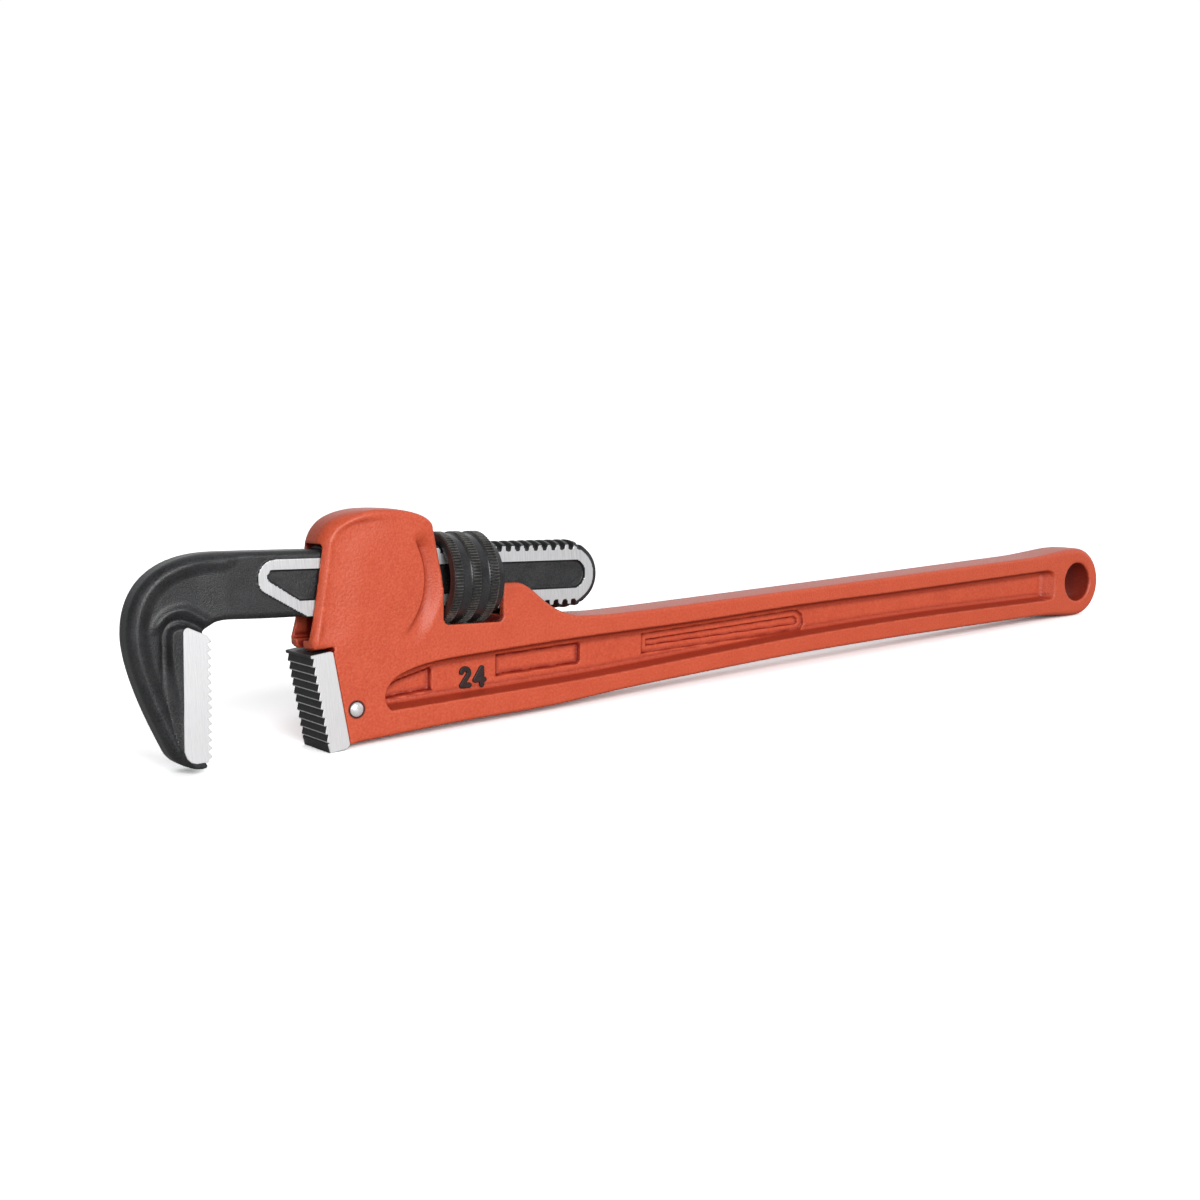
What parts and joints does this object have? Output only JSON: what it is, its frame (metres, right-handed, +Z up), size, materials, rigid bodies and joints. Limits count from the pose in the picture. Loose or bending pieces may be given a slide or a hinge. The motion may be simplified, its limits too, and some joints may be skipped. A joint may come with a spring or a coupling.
{
  "type": "pipe wrench",
  "caption": "Straight pipe wrench with an I-beam handle, a sliding hook jaw on a threaded shank, a knurled adjusting nut and a pinned heel jaw.",
  "frame": {"origin": "centre of the hanging hole in the handle's end, at the middle of the handle's thickness", "axes": "+X along the wrench from the hook jaw to the hanging hole, level when the wrench stands on its narrow edge on the hook's tip and the handle's end; +Y along the hanging hole; +Z up, from the heel jaw's side to the housing's roof"},
  "size_m": [0.61, 0.0426, 0.1034],
  "materials": {
    "painted_casting": "orange-red enamel over cast iron, satin, with a fine orange-peel texture",
    "black_forging": "black satin coating over a fine-grained forging",
    "ground_steel": "bare steel, ground in one direction",
    "jaw_steel": "black hardened steel with bright tooth tips and ground sides",
    "pin_steel": "bright steel, upset at both ends",
    "black_oxide": "oiled black oxide, knurled",
    "spring_steel": "blackened spring steel"
  },
  "bodies": {
    "handle": {"handle": "painted_casting", "heel_jaw": "jaw_steel", "heel_jaw_pin": "pin_steel", "spring_rivet": "pin_steel", "coil_spring": "spring_steel"},
    "shank_spring": {"flat_spring": "spring_steel"},
    "hook_jaw": {"hook_jaw": "black_forging"},
    "nut": {"adjusting_nut": "black_oxide"}
  },
  "joints": [
    {"name": "jaw_rock", "type": "hinge", "parent": "handle", "child": "shank_spring", "pos_m": [-0.44609, 0, 0.04765], "axis": [0, -1, 0], "range_deg": [0, 2], "stiffness_Nm_per_rad": 40, "springref_deg": -2.86, "deforming": ["coil_spring"]},
    {"name": "jaw_slide", "type": "slide", "parent": "shank_spring", "child": "hook_jaw", "axis": [0.9977, 0, -0.068], "range_m": [-0.041, 0.0415]},
    {"name": "nut_spin", "type": "hinge", "parent": "shank_spring", "child": "nut", "pos_m": [-0.43711, 0, 0.04704], "axis": [0.9977, 0, -0.068], "range_deg": [-3200, 3200]}
  ],
  "couplings": [
    {"joint": "nut_spin", "follows": "jaw_slide", "rad_per_m": -1256.6}
  ]
}
